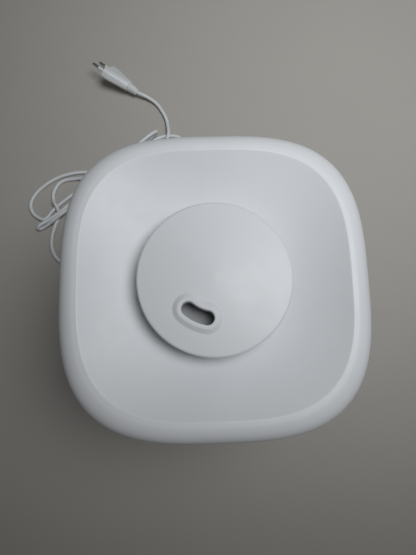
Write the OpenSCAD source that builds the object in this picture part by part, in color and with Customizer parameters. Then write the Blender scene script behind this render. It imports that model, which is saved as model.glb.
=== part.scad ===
// Top-fill cool mist humidifier: a mains base with fan and ultrasonic disc, a lift-off water tank,
// a dished lid that water is poured into, and a round mist cap that turns.
// Origin at the middle of the surface it stands on, +Z up, front towards -Y, cord out of the back at +Y.

/* [Body] */
// Width across the flats at the widest level of the rim
rim_w = 210; // [200:1:220]
// Height of that widest level
rim_z = 249; // [246:1:252]
// How much narrower each side is at the floor than at the rim
flank_lean = 14; // [8:1:18]
// Squareness of the plan: 2 is a circle, higher is squarer
square_n = 3.12; // [2.8:0.02:3.4]
// Thickness of the moulded walls
wall = 2.6; // [2.2:0.1:2.8]
// Height of the joint between base and tank
base_top = 78; // [77:0.5:79]
// Height of the joint between tank and lid
tank_top = 238.4; // [238:0.1:238.6]

/* [Lid and mist cap] */
// Radius of the lip's outer roll
lip_r = 15.1; // [14.6:0.1:15.6]
// Height of the lip's crest above the widest level
lip_rise = 14.8; // [14:0.1:15]
// Height of the dish where it meets the pour ring
dish_low = 247.2; // [246:0.1:248]
// How much the dish steepens towards the lip
dish_bend = 1.7; // [1.4:0.05:2]
// Radius of the mist cap
cap_r = 50.6; // [48:0.1:54]
// Height of the mist cap's upper edge
cap_edge_z = 268; // [267.5:0.1:269]
// Rise of the mist cap from edge to middle
cap_rise = 4.5; // [3:0.1:5.5]
// Distance of the mist slot from the middle of the cap
slot_reach = 25.9; // [24:0.1:27]
// Half the width of the mist slot
slot_r = 4.5; // [3.5:0.1:5]
// Half the angle that the mist slot spans
slot_half_angle = 14.5; // [12:0.5:18]
// Turn of the mist slot to the left of the front
slot_turn = 27; // [0:1:40]

/* [Works] */
// Height of the middle of the front button
button_z = 45; // [43:1:47]
// Height of the outlet for the mains cord
gland_z = 15; // [14:0.5:16]
// Diameter of the mains cord
cord_d = 4.6; // [4.2:0.1:4.8]

/* [Hidden] */

$fn = 72;
SEG = 72;              // points round a squircle
half_w = rim_w / 2;
foot_h = 3;            // gap under the base
plate_t = 2.4;
gap = 0.3;             // play between separate mouldings
lip_c = half_w - lip_r;     // half-width at the middle of the lip's roll
lip_in = lip_c - 0.2;       // half-width of the crease between lip and dish
lip_top = rim_z + lip_rise;

shell_white = [0.91, 0.92, 0.93];
cord_white = [0.86, 0.87, 0.87];
board_green = [0.15, 0.38, 0.24];
rubber_grey = [0.35, 0.36, 0.37];

// ---------- shared shapes ----------

// Half-width of the outer wall at height z: the flank is upright at the rim and leans in below it.
function wall_a(z) = half_w - flank_lean * pow(1 - z / rim_z, 2);

function squircle(a, n = square_n) = [
  for (i = [0 : SEG - 1]) let (t = 360 * i / SEG)
    a / pow(pow(abs(cos(t)), n) + pow(abs(sin(t)), n), 1 / n) * [cos(t), sin(t)]
];

function arc_pts(c, r, from, to, steps) = [
  for (i = [0 : steps]) let (t = from + (to - from) * i / steps) [c.x + r * cos(t), c.y + r * sin(t)]
];

// Joins rings of points into one closed solid: round = true closes the last ring back to the first.
module loft(rings, round = false) {
  k = len(rings[0]);
  m = len(rings);
  pts = [for (r = rings) each r];
  sides = [
    for (j = [0 : m - (round ? 1 : 2)], i = [0 : k - 1])
      let (
        a = j * k + i,
        b = j * k + (i + 1) % k,
        c = ((j + 1) % m) * k + (i + 1) % k,
        d = ((j + 1) % m) * k + i
      )
      each [[a, d, b], [b, d, c]]
  ];
  caps = round ? [] : [
    [for (i = [0 : k - 1]) i],
    [for (i = [k - 1 : -1 : 0]) (m - 1) * k + i]
  ];
  polyhedron(points = pts, faces = concat(sides, caps), convexity = 8);
}

// A squircle wall whose section is the closed outline [half-width, height, squareness].
module squircle_wall(outline) {
  loft([
    for (p = outline) let (n = p[2] == undef ? square_n : p[2])
      [for (q = squircle(p[0], n)) [q.x, q.y, p[1]]]
  ], true);
}

module squircle_plate(a, z, h) {
  translate([0, 0, z]) linear_extrude(h) polygon(squircle(a));
}

module tube(r_out, r_in, z, h) {
  translate([0, 0, z]) difference() {
    cylinder(r = r_out, h = h);
    translate([0, 0, -1]) cylinder(r = r_in, h = h + 2);
  }
}

// ---------- base ----------

fillet_r = 7;
fillet_c = [wall_a(foot_h + fillet_r) - fillet_r, foot_h + fillet_r];
plate_a = fillet_c.x + 0.3;
button_lean = atan(2 * flank_lean * (1 - button_z / rim_z) / rim_z);
gland_y = wall_a(gland_z);
well_r = 25.6;
well_z = 46;
basin_r = 72;
basin_z = 58;
deck_z = 70;
stack_x = -48;
screw_xy = 60;
foot_xy = 46;
float_y = -50;

module at_corners(d) {
  for (x = [-d, d], y = [-d, d]) translate([x, y, 0]) children();
}

// Puts +Z of the children along the outward normal of the front wall at the button.
module at_button() {
  translate([0, -wall_a(button_z), button_z]) rotate([90 + button_lean, 0, 0]) children();
}

module base_shell() {
  z_list = [foot_h + fillet_r + 8, 34, 50, 64, base_top];
  outer = concat(
    [[plate_a, foot_h]],
    arc_pts(fillet_c, fillet_r, -84, 0, 6),
    [for (z = z_list) [wall_a(z), z]]
  );
  inner = concat(
    [for (i = [len(z_list) - 1 : -1 : 0]) [wall_a(z_list[i]) - wall, z_list[i]]],
    arc_pts(fillet_c, fillet_r - wall, 0, -60, 3),
    [[plate_a, foot_h + plate_t]]
  );
  color(shell_white) difference() {
    squircle_wall(concat(outer, inner));
    at_button() translate([0, 0, -9]) cylinder(r = 12.6, h = 14);
    translate([0, gland_y - 9, gland_z]) rotate([-90, 0, 0]) cylinder(r = 5.6, h = 14);
  }
}

module bottom_plate() {
  color([0.8, 0.81, 0.82]) {
    difference() {
      squircle_plate(plate_a - gap, foot_h, plate_t);
      for (i = [-3 : 3]) translate([stack_x + i * 5.2 - 1.4, -17, 0]) cube([2.8, 34, 8]);
      at_corners(screw_xy) cylinder(r = 1.7, h = 8);
      at_corners(screw_xy) cylinder(r = 3.1, h = foot_h + 1);
      at_corners(foot_xy) cylinder(r = 8.1, h = foot_h + 0.8);
    }
    for (x = [-22, 22], y = [-22, 22])
      translate([stack_x + x - 2.5, y - 2.5, foot_h + plate_t]) cube([5, 5, 9 - foot_h - plate_t]);
    for (x = [6, 58], y = [-50, -18, 22, 52])
      translate([x, y, foot_h + plate_t]) cylinder(r = 2.5, h = 14 - foot_h - plate_t);
  }
}

module rubber_feet() {
  color(rubber_grey) at_corners(foot_xy) {
    cylinder(r1 = 7.2, r2 = 8, h = 0.8);
    translate([0, 0, 0.8]) cylinder(r = 8, h = foot_h);
  }
}

module base_screws() {
  color("silver") at_corners(screw_xy) difference() {
    union() {
      translate([0, 0, 2.2]) cylinder(r = 2.8, h = 1.8);
      translate([0, 0, 4]) cylinder(r = 1.5, h = 12);
    }
    for (a = [0, 90]) rotate([0, 0, a]) translate([-1.8, -0.4, 1]) cube([3.6, 0.8, 2]);
  }
}

module at_clamp_screws() {
  for (x = [-16, 16]) translate([x, 0, 0]) children();
}

stack_r = 13;

// Top plate of the base with its screw posts, round the basin.
module base_deck() {
  post_z = foot_h + plate_t;
  color([0.88, 0.89, 0.9]) difference() {
    union() {
      squircle_plate(wall_a(deck_z) - wall - gap, deck_z, plate_t);
      at_corners(screw_xy) translate([0, 0, post_z]) cylinder(r = 3.8, h = deck_z - post_z + 1);
    }
    translate([0, 0, deck_z - 1]) cylinder(r = basin_r + plate_t + 0.05, h = plate_t + 2);
    at_corners(screw_xy) translate([0, 0, post_z - 1]) cylinder(r = 1.55, h = 13);
  }
}

// Round cup with a deeper well over the disc, a float post and a post that opens the tank's valve.
module water_basin() {
  t = plate_t;
  color([0.88, 0.89, 0.9]) {
    difference() {
      rotate_extrude() polygon([
        [10.2, well_z - t], [well_r + t, well_z - t], [well_r + t, basin_z - t], [basin_r + t, basin_z - t],
        [basin_r + t, deck_z + t], [basin_r, deck_z + t], [basin_r, basin_z], [well_r, basin_z],
        [well_r, well_z], [10.2, well_z]
      ]);
      translate([stack_x, 0, basin_z - t - 1]) cylinder(r = stack_r + 0.05, h = t + 2);
      at_clamp_screws() translate([0, 0, well_z - 3]) cylinder(r = 1.25, h = 2.1);
    }
    translate([0, float_y, basin_z - 1]) cylinder(r = 4, h = 16);
    translate([0, -float_y, basin_z - 1]) cylinder(r = 3, h = 7);
  }
}

// Tube that carries the fan's air up through the basin's floor.
module air_stack() {
  color([0.88, 0.89, 0.9]) translate([stack_x, 0, 0]) {
    tube(stack_r, stack_r - 2, 44, 30);
    tube(stack_r + 2.5, stack_r - 1, basin_z, 1.6);
  }
}

module intake_filter() {
  color([0.5, 0.52, 0.54]) translate([stack_x - 18.5, -18.5, foot_h + plate_t + 0.2]) cube([37, 37, 3]);
}

fan_z = 9;
fan_t = 15;
bearing_r = 1.6;

module fan_frame() {
  color([0.2, 0.21, 0.22]) translate([stack_x, 0, fan_z]) {
    difference() {
      translate([-25, -25, 0]) cube([50, 50, fan_t]);
      translate([0, 0, -1]) cylinder(r = 22.6, h = fan_t + 2);
      at_corners(20.5) translate([0, 0, -1]) cylinder(r = 1.7, h = fan_t + 2);
    }
    difference() {
      union() {
        cylinder(r = 9, h = 1.6);
        cylinder(r = 3.4, h = 6);
        for (a = [45 : 90 : 315]) rotate([0, 0, a]) translate([8, -1.2, 0]) cube([16, 2.4, 1.6]);
      }
      translate([0, 0, 1]) cylinder(r = bearing_r, h = 6);
    }
  }
}

module fan_rotor() {
  color([0.16, 0.16, 0.17]) translate([stack_x, 0, fan_z]) {
    difference() {
      translate([0, 0, 2.4]) cylinder(r = 9.4, h = 11);
      translate([0, 0, 1.4]) cylinder(r = 8, h = 10.2);
    }
    translate([0, 0, 1.2]) cylinder(r = bearing_r - 0.05, h = 11);
    intersection() {
      for (a = [0 : 360 / 7 : 359]) rotate([0, 0, a]) translate([15, 0, 8]) rotate([38, 0, 0])
        cube([14, 13, 1.2], center = true);
      tube(21.8, 8.8, 2.6, 11);
    }
  }
}

module air_duct() {
  color([0.75, 0.76, 0.77]) translate([stack_x, 0, 0]) {
    rotate_extrude() polygon([
      [22.8, 24], [24.8, 24], [24.8, 26.5], [15, 45], [15, 54], [13.1, 54], [13.1, 45], [22.8, 26.5]
    ]);
    difference() {
      translate([-25, -25, 24]) cube([50, 50, 1.6]);
      translate([0, 0, 23]) cylinder(r = 24, h = 4);
      at_corners(20.5) translate([0, 0, 23]) cylinder(r = 1.7, h = 4);
    }
  }
}

module transducer_disc() {
  color([0.82, 0.74, 0.5]) translate([0, 0, well_z - 2.2]) cylinder(r = 8, h = 1.2);
}

module transducer_seal() {
  color(rubber_grey) rotate_extrude() polygon([
    [6.4, well_z], [6.4, well_z - 1], [8.1, well_z - 1], [8.1, well_z - 2.2], [6.4, well_z - 2.2],
    [6.4, well_z - 3.2], [10.1, well_z - 3.2], [10.1, well_z]
  ]);
}

module transducer_clamp() {
  color("silver") difference() {
    union() {
      tube(12.5, 5.6, well_z - 5, 1.7);
      for (a = [0, 180]) rotate([0, 0, a]) translate([10, -4, well_z - 5]) cube([9, 8, 1.7]);
    }
    at_clamp_screws() translate([0, 0, well_z - 6]) cylinder(r = 1.4, h = 4);
  }
}

module clamp_screws() {
  color("silver") at_clamp_screws() {
    translate([0, 0, well_z - 6.4]) cylinder(r = 2.2, h = 1.4);
    translate([0, 0, well_z - 5]) cylinder(r = 1.2, h = 4);
  }
}

// ---------- electronics ----------

module board(x, y, w, d) {
  color(board_green) translate([x, y, 14]) cube([w, d, 1.6]);
}

module driver_board() {
  board(2, -54, 60, 40);
  color([0.12, 0.12, 0.13]) {
    translate([6, -48, 15.6]) cube([7, 7, 2.4]);
    for (x = [8, 20, 32]) translate([x, -24, 15.6]) cylinder(r = 3, h = 7);
    translate([6, -36, 15.6]) cube([10, 5, 6]);
  }
}

module driver_heatsink() {
  color([0.7, 0.71, 0.72]) translate([38, -50, 15.6]) {
    cube([20, 32, 3]);
    for (i = [0 : 4]) translate([i * 4.5, 0, 3]) cube([1.6, 32, 14]);
  }
}

module power_board() {
  board(2, 18, 60, 38);
  color([0.85, 0.75, 0.3]) translate([24, 26, 15.6]) cube([20, 20, 16]);
  color([0.12, 0.12, 0.13]) {
    for (y = [26, 42]) translate([54, y, 15.6]) cylinder(r = 5, h = 14);
    translate([7, 24, 15.6]) cube([9, 5, 12]);
    translate([7, 36, 15.6]) cube([10, 10, 8]);
  }
}

board_w = -19;         // depth of the control board behind the front wall

module control_board() {
  color(board_green) at_button() translate([-22, -9, board_w]) cube([44, 18, 1.6]);
}

module tact_switch() {
  color([0.15, 0.15, 0.16]) at_button() {
    translate([-3, -3, board_w + 1.6]) cube([6, 6, 3.4]);
    translate([0, 0, board_w + 5]) cylinder(r = 1.7, h = 0.7);
  }
}

module button_light_ring() {
  color([0.95, 0.97, 1]) at_button() rotate_extrude() polygon([
    [9.4, -5], [14.4, -5], [14.4, -3.4], [12.5, -3.4], [12.5, 0.2], [12, 0.7], [10, 0.7], [9.4, 0.1]
  ]);
}

module power_button() {
  color(shell_white) at_button() rotate_extrude() polygon([
    [0, -12], [2.4, -12], [2.4, -5], [9.1, -5], [9.1, 0.7], [8.4, 1.4], [0, 1.8]
  ]);
}

// ---------- float and cord outlet ----------

module level_float() {
  color([0.9, 0.9, 0.86]) translate([0, float_y, 0]) tube(13, 4.3, basin_z + gap, 8);
}

module float_clip() {
  color([0.8, 0.8, 0.8]) translate([0, float_y, basin_z + 15]) cylinder(r = 6, h = 1.6);
}

relief_len = 124 - gland_y;

module strain_relief() {
  color(cord_white) translate([0, gland_y, gland_z]) rotate([-90, 0, 0]) rotate_extrude() polygon([
    [0, -5], [7.4, -5], [7.4, -3.2], [5.5, -3.2], [5.5, 0.6], [7.4, 0.6], [7.4, 2.4], [5.6, 3],
    [cord_d / 2 + 0.9, relief_len], [0, relief_len]
  ]);
}

// ---------- cord ----------
// The routes are [x, y, z]: from the tip of the strain relief to the folded bundle, and on from it to
// the plug. The bundle is one plain solid round all of its runs.

hank_start = [-211, 114.5];
hank_angle = 39.4;
hank_len = 201.5;
hank_w = 20;
hank_h = 23.4;
hank_back = 5.7;       // how far the bundle reaches behind hank_start
hank_side = 4.7;       // how far its middle lies beside hank_start

lead_route = [
  [0, 124, 15], [0, 136, 12.5], [-1, 150, 8.5], [-3, 166, 5], [-8, 184, 3], [-14, 203, 2.5],
  [-22, 223, 2.5], [-34, 234.5, 2.5], [-46, 237, 2.5], [-58, 235.3, 2.5], [-68, 230.5, 2.5],
  [-82, 220.5, 2.5], [-98, 209.5, 2.5], [-117, 199, 2.5], [-136, 191.5, 2.5], [-152, 188.5, 2.5],
  [-165, 188.3, 2.5], [-178, 186.4, 2.5], [-190.8, 182.6, 2.5], [-203.7, 175.8, 2.5],
  [-216.3, 165.8, 2.5], [-223.8, 156.2, 2.5], [-227.2, 147, 2.5], [-226.5, 139.2, 2.6],
  [-222.5, 132.4, 2.8], [-216, 127.3, 3.2], [-209, 124.6, 4]
];
plug_route = [
  [-139, 167, 2.5], [-127, 165, 2.5], [-119, 156, 2.5], [-117, 144, 2.5], [-119, 132, 2.5],
  [-125, 117, 2.5], [-131, 102, 2.5], [-136, 87, 2.5], [-144, 73, 2.5], [-157, 64, 2.5],
  [-172, 62.5, 2.5], [-184.5, 67.5, 2.5], [-193.5, 76, 2.5], [-198, 86, 2.5], [-199, 96, 2.5],
  [-198.2, 105, 2.5], [-196, 113.6, 2.4], [-194.4, 118.7, 2.4], [-192.1, 124.6, 2.4], [-191, 130.4, 2.5],
  [-191.1, 136, 4.6], [-191.9, 139.5, 7.2], [-193.8, 142.9, 7.3], [-196, 146, 5.4], [-198.1, 150.7, 3],
  [-198.7, 157.8, 2.5], [-197, 165, 2.5], [-192.6, 172.3, 2.5], [-187, 176.6, 2.5], [-180.3, 178.7, 2.5],
  [-170, 179.4, 3.2], [-160, 179, 6], [-147, 178, 10], [-134, 176, 10.5], [-120, 177, 8.5],
  [-105, 180, 4.5], [-89, 187, 2.5], [-73, 197, 2.5], [-59, 211, 4], [-51, 226, 6.6], [-47.6, 238, 7.6],
  [-48.5, 250, 4], [-50, 259, 3], [-52.5, 266, 3], [-56.4, 273.4, 3], [-61.6, 281.4, 3.5],
  [-68.2, 287.3, 5], [-76, 291.6, 7.2], [-83, 294.3, 9.3], [-89, 297, 10]
];
plug_neck = plug_route[len(plug_route) - 1];
plug_turn = 144;       // heading of the plug from its cord, about +Z
plug_pitch = 8;        // how far the plug's pins are tipped up
plug_roll = 48;        // the plug leans over on its narrow side
plug_len = 46.5;       // from the cord's end of the tail to the face with the pins
tail_len = 12;         // the ribbed tail behind the plug's body

function unit(v) = v / norm(v);

module swept_tube(path, d, sides = 8) {
  k = len(path) - 1;
  loft([
    for (i = [0 : k])
      let (way = unit(path[min(i + 1, k)] - path[max(i - 1, 0)]),
           side = unit(cross([0, 0, 1], way)),
           up = cross(way, side))
        [for (j = [0 : sides - 1]) let (t = -360 * j / sides)
          path[i] + d / 2 * (cos(t) * side + sin(t) * up)]
  ]);
}

module power_cord() {
  color(cord_white) swept_tube(lead_route, cord_d);
}

module plug_lead() {
  color(cord_white) swept_tube(plug_route, cord_d);
}

module cord_hank() {
  r = hank_w / 2;
  color(cord_white) translate([hank_start.x, hank_start.y, 0.2]) rotate([0, 0, hank_angle])
    translate([r - hank_back, hank_side, 0]) linear_extrude(hank_h) {
      for (x = [0, hank_len - hank_w]) translate([x, 0]) circle(r = r);
      translate([0, -r]) square([hank_len - hank_w, hank_w]);
    }
}

// ---------- plug ----------

module at_plug() {
  translate(plug_neck) rotate([0, 0, plug_turn]) rotate([0, -plug_pitch, 0]) rotate([plug_roll, 0, 0])
    children();
}

function oval(w, t, n, x) = [
  for (i = [0 : 23]) let (a = -15 * i, k = pow(pow(abs(cos(a)), n) + pow(abs(sin(a)), n), -1 / n))
    [x, w / 2 * k * cos(a), t / 2 * k * sin(a)]
];

module plug_body() {
  // along the plug from its cord end: [distance, width, thickness, squareness]
  sections = [
    [tail_len, 16.5, 12.6, 2.2], [16, 19, 12.9, 2.5], [22, 23, 13.2, 2.8], [30, 29, 13.5, 3.2],
    [38, 33.8, 13.7, 4], [plug_len - 1, 35, 13.7, 4], [plug_len, 34, 12.7, 4]
  ];
  color(cord_white) at_plug() loft([for (s = sections) oval(s[1], s[2], s[3], s[0])]);
}

module plug_relief() {
  ribs = 4;
  pitch = tail_len / ribs;
  groove = 0.7;
  color(cord_white) at_plug() rotate([0, 90, 0]) rotate_extrude() polygon(concat(
    [[0, 0]],
    [for (i = [0 : ribs - 1]) let (z = i * pitch, r = cord_d / 2 + 2.2 + i * 0.5)
      each [[r, z], [r, z + pitch * 0.6], [r - groove, z + pitch * 0.6], [r - groove, z + pitch]]],
    [[0, tail_len]]
  ));
}

module plug_pins() {
  pin_r = 1.9;
  pin_len = 19;
  tip = 1.5;
  spread = 9;          // half the distance between the pins
  color("silver") at_plug() for (y = [-spread, spread]) translate([plug_len, y, 0]) rotate([0, 90, 0]) {
    cylinder(r = pin_r, h = pin_len - tip);
    translate([0, 0, pin_len - tip]) cylinder(r1 = pin_r, r2 = pin_r - 0.7, h = tip);
  }
}

// ---------- tank ----------

tank_floor_z = 81;
tank_floor_a = wall_a(tank_floor_z) - wall - gap;
tube_r = 22;
valve_y = 50;
window_y = 4;          // half-width of the level window

module tank_wall_solid() {
  z_list = [base_top + gap, 100, 125, 155, 190, 215, tank_top];
  m = len(z_list) - 1;
  skirt = wall_a(base_top) - wall - 0.6;
  squircle_wall(concat(
    [for (z = z_list) [wall_a(z), z]],
    [for (i = [m : -1 : 1]) [wall_a(z_list[i]) - wall, z_list[i]]],
    [[wall_a(tank_floor_z) - wall, tank_floor_z], [skirt - 3, tank_floor_z], [skirt - 2.2, base_top - 5],
     [skirt, base_top - 5], [skirt, base_top + gap]]
  ));
}

module window_slot(grow) {
  translate([60, -window_y - grow, 98 - grow]) cube([60, 2 * (window_y + grow), 112 + 2 * grow]);
}

module tank_shell() {
  color(shell_white) difference() {
    tank_wall_solid();
    window_slot(0.05);
  }
}

module level_window() {
  color([0.75, 0.82, 0.86]) intersection() {
    tank_wall_solid();
    window_slot(0);
  }
}

module tank_floor() {
  color(shell_white) difference() {
    squircle_plate(tank_floor_a, tank_floor_z, plate_t);
    translate([0, 0, 70]) cylinder(r = tube_r + 0.15, h = 20);
    translate([0, valve_y, 70]) cylinder(r = 12.9, h = 20);
  }
}

module mist_tube() {
  color([0.85, 0.87, 0.88]) {
    tube(tube_r, tube_r - 2, 68, 179);
    tube(tube_r + 4, tube_r - 1, tank_floor_z + plate_t + 2, 2);
  }
}

module tube_seal() {
  color(rubber_grey) tube(tube_r + 3.5, tube_r + 0.05, tank_floor_z + plate_t, 2);
}

seat_z = tank_floor_z + plate_t + 1.6;
stem_r = 2.95;
cage_z = seat_z + 12;

module valve_cap() {
  color([0.8, 0.82, 0.84]) translate([0, valve_y, 0]) {
    tube(12.8, 11, 74.5, seat_z - 74.5);
    tube(16, 7, seat_z - 1.6, 1.6);
    tube(4.6, stem_r + 0.07, 76, seat_z - 77.6);
    for (a = [0 : 120 : 240]) rotate([0, 0, a]) {
      translate([4, -0.9, 76]) cube([8, 1.8, 4]);
      translate([12, -1.5, seat_z - 1]) cube([2.4, 3, cage_z - seat_z + 2.6]);
      translate([5, -1.5, cage_z]) cube([8, 3, 1.6]);
    }
    tube(6, stem_r + 0.6, cage_z, 1.6);
  }
}

module valve_plunger() {
  color([0.9, 0.9, 0.9]) translate([0, valve_y, 0]) {
    translate([0, 0, basin_z + 6.5]) cylinder(r = stem_r, h = cage_z - basin_z - 4);
    translate([0, 0, seat_z + 2]) cylinder(r = 9, h = 1.4);
  }
}

module valve_seal() {
  color(rubber_grey) translate([0, valve_y, 0]) tube(9.4, stem_r, seat_z, 2);
}

module valve_spring() {
  r = 4.4;
  low = seat_z + 3.9;
  high = cage_z - 0.5;
  turns = 3;
  steps = 16 * turns;
  path = [
    for (i = [0 : steps]) let (t = 360 * i / 16) [r * cos(t), r * sin(t), low + (high - low) * i / steps]
  ];
  color("silver") translate([0, valve_y, 0]) swept_tube(path, 0.8, 6);
}

// ---------- lid ----------

lid_wall = 2.4;
pour_r = 36;
collar_r = 25.6;
collar_top = 253.5;
ring_a = 40.5;         // half-width of the dish's inner edge
skirt_low = 232;
plug_a = wall_a(tank_top) - wall - 2;  // the lid's inner wall, which plugs into the tank

// Point of the dish from the pour ring (t = 0) to the crease at the lip (t = 1), lowered by drop. It is
// round at the ring and as square as the body at the lip.
function dish_point(t, drop = 0) = [
  ring_a + (lip_in - ring_a) * t,
  dish_low + (lip_top - dish_low) * pow(t, dish_bend) - drop,
  2 + (square_n - 2) * t
];

module lid_dish() {
  steps = 9;
  roll_end = asin((lip_rise - 0.1) / lip_r);
  low_z = tank_top + gap;
  outer = concat(
    [[wall_a(low_z), low_z], [wall_a(244), 244]],
    arc_pts([lip_c, rim_z], lip_r, 0, roll_end, 8),
    [for (i = [steps : -1 : 0]) dish_point(i / steps)]
  );
  inner = concat(
    [for (i = [0 : steps - 1]) dish_point(i / steps, lid_wall)],
    arc_pts([lip_c, rim_z], lip_r - lid_wall, 90, 0, 6),
    [[wall_a(low_z) - wall, low_z]]
  );
  color(shell_white) squircle_wall(concat(outer, inner));
}

// Height just inside the lip's wall at half-width a, so that the skirt joins it.
function under_lip(a) = rim_z + sqrt(pow(lip_r - lid_wall, 2) - pow(a - lip_c, 2)) + 0.3;

// Wall under the lip that plugs into the tank.
module lid_skirt() {
  plug_in = plug_a - 2;
  color(shell_white) squircle_wall([
    [plug_a, skirt_low], [plug_a, under_lip(plug_a)], [plug_in, under_lip(plug_in)], [plug_in, skirt_low]
  ]);
}

module lid_gasket() {
  a = plug_a + 1.6;
  color(rubber_grey) squircle_wall([[a, 234], [a, 236.5], [plug_a, 236.5], [plug_a, 234]]);
}

module pour_ring() {
  color(shell_white) {
    tube(ring_a + 0.1, pour_r, dish_low - lid_wall, lid_wall);
    for (a = [45 : 90 : 315]) rotate([0, 0, a])
      translate([collar_r - 0.5, -1.5, 241]) cube([pour_r - collar_r + 1.5, 3, 5]);
  }
}

// Collar round the top of the mist tube, with a seat inside for the cap's hub.
module lid_collar() {
  color(shell_white) rotate_extrude() polygon([
    [tube_r + 0.6, 238], [collar_r, 238], [collar_r, collar_top], [23.6, collar_top], [23.6, 248],
    [tube_r + 0.6, 248]
  ]);
}

// ---------- mist cap ----------

bowl_r = 39;
sleeve_fit = 0.08;
cap_wall = 2.2;

function cap_top_z(r) = cap_edge_z + cap_rise * (1 - pow(r / cap_r, 1.35));

hub_top = cap_top_z(bowl_r) - cap_wall - gap;

module cap_hub() {
  color([0.88, 0.89, 0.9]) rotate_extrude() polygon([
    [21.3, 248.3], [23.3, 248.3], [23.3, 254], [30, 256.4], [bowl_r, 258.6], [bowl_r, hub_top],
    [bowl_r - 1.6, hub_top], [bowl_r - 1.6, 260.4], [29.4, 258.4], [21.3, 255.6]
  ]);
}

module splash_baffle() {
  color([0.84, 0.85, 0.86]) {
    translate([0, 0, 250]) cylinder(r = 13, h = 1.5);
    for (a = [0 : 120 : 240]) rotate([0, 0, a]) translate([12, -1, 250]) cube([9.25, 2, 1.5]);
  }
}

module hub_seal() {
  color(rubber_grey) rotate_extrude() polygon([
    [23.35, collar_top + 0.05], [25.4, collar_top + 0.05], [25.4, 254.7], [23.35, 253.98]
  ]);
}

module cap_sleeve() {
  low = 260.8;
  high = cap_top_z(bowl_r) - cap_wall + 0.5;
  color(shell_white) tube(bowl_r + 2.2, bowl_r + sleeve_fit, low, high - low);
}

// The outline of the mist slot grown by r: an arc about the cap's axis with round ends.
module slot_outline(r) {
  rotate([0, 0, -90 - slot_turn]) {
    intersection() {
      difference() {
        circle(r = slot_reach + r);
        circle(r = slot_reach - r);
      }
      polygon([[0, 0], 60 * [cos(slot_half_angle), -sin(slot_half_angle)],
               60 * [cos(slot_half_angle), sin(slot_half_angle)]]);
    }
    for (a = [-1, 1]) rotate([0, 0, a * slot_half_angle]) translate([slot_reach, 0]) circle(r = r);
  }
}

chute_z = 261;         // foot of the chute under the slot
chamfer = 1.3;         // width of the bevel round the cap
collar_w = 5.8;        // how far the raised collar reaches out from the slot
collar_h = 1.8;

module mist_cap() {
  flat_r = cap_r - chamfer;
  rings = [for (i = [0 : 10]) flat_r * i / 10];
  seat = cap_top_z(slot_reach);
  terraces = 4;
  color(shell_white) difference() {
    union() {
      rotate_extrude() polygon(concat(
        [for (r = rings) [r, cap_top_z(r)]],
        [[cap_r, cap_edge_z - 0.6], [cap_r, cap_edge_z - 1.9], [cap_r - 0.6, cap_edge_z - 2.4]],
        [for (i = [9 : -1 : 0]) [rings[i], cap_top_z(rings[i]) - cap_wall]]
      ));
      for (i = [1 : terraces]) translate([0, 0, seat - 2])
        linear_extrude(2 + collar_h * (1 - (i - 1) / terraces))
          slot_outline(slot_r + 2 + (collar_w - 2) * i / terraces);
      translate([0, 0, chute_z]) linear_extrude(seat - 1 - chute_z) slot_outline(slot_r + 1.4);
    }
    translate([0, 0, chute_z - 1]) linear_extrude(20) slot_outline(slot_r);
  }
}

base_shell();
bottom_plate();
rubber_feet();
base_screws();
base_deck();
water_basin();
air_stack();
intake_filter();
fan_frame();
fan_rotor();
air_duct();
transducer_disc();
transducer_seal();
transducer_clamp();
clamp_screws();
driver_board();
driver_heatsink();
power_board();
control_board();
tact_switch();
button_light_ring();
power_button();
level_float();
float_clip();
strain_relief();
power_cord();
cord_hank();
plug_lead();
plug_body();
plug_relief();
plug_pins();
tank_shell();
tank_floor();
level_window();
mist_tube();
tube_seal();
valve_cap();
valve_plunger();
valve_seal();
valve_spring();
lid_dish();
lid_skirt();
lid_gasket();
pour_ring();
lid_collar();
cap_hub();
splash_baffle();
hub_seal();
mist_cap();
cap_sleeve();
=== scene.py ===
"""Looks of a top-fill cool mist humidifier: shells, mist cap, cord and materials around the frame."""
import math

import bmesh
import bpy
from mathutils import Matrix, Vector


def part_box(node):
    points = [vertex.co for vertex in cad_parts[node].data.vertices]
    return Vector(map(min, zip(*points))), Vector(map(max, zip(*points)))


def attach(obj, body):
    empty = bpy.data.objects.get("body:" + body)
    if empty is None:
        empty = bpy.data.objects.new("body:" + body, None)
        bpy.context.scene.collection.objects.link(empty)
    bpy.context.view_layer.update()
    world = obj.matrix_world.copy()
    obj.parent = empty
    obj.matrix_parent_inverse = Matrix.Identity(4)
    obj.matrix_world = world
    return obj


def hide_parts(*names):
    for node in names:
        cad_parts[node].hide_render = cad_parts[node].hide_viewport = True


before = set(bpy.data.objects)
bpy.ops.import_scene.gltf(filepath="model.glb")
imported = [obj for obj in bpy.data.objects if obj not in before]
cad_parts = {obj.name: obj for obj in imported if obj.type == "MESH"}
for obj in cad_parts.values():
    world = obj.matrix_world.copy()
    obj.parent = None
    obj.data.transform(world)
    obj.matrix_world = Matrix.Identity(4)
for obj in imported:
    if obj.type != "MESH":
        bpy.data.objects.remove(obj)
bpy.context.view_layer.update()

# ---------- measures, in millimetres ----------

MM = 0.001
AROUND = 240             # points round a squircle shell
TURNS = 128              # points round a turned piece
SQUARE_N = 3.12          # squareness of the plan
LEAN = 14                # how much each flank leans in from the rim to the floor
WALL = 2.6
LID_WALL = 2.4
LIP_R = 15.1             # radius of the lip's outer roll
LIP_RISE = 14.8          # height of the lip's crest above the rim's widest level
SOFT_EDGE = 0.7          # rounding of moulded edges


def box_mm(node):
    """The low and high corners of a CAD node's box."""
    low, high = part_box(node)
    return low / MM, high / MM


lid_high = box_mm("lid_dish")[1]
tank_high = box_mm("tank_shell")[1]
base_low, base_high = box_mm("base_shell")
cap_high = box_mm("mist_cap")[1]
window_low, window_high = box_mm("level_window")

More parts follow.
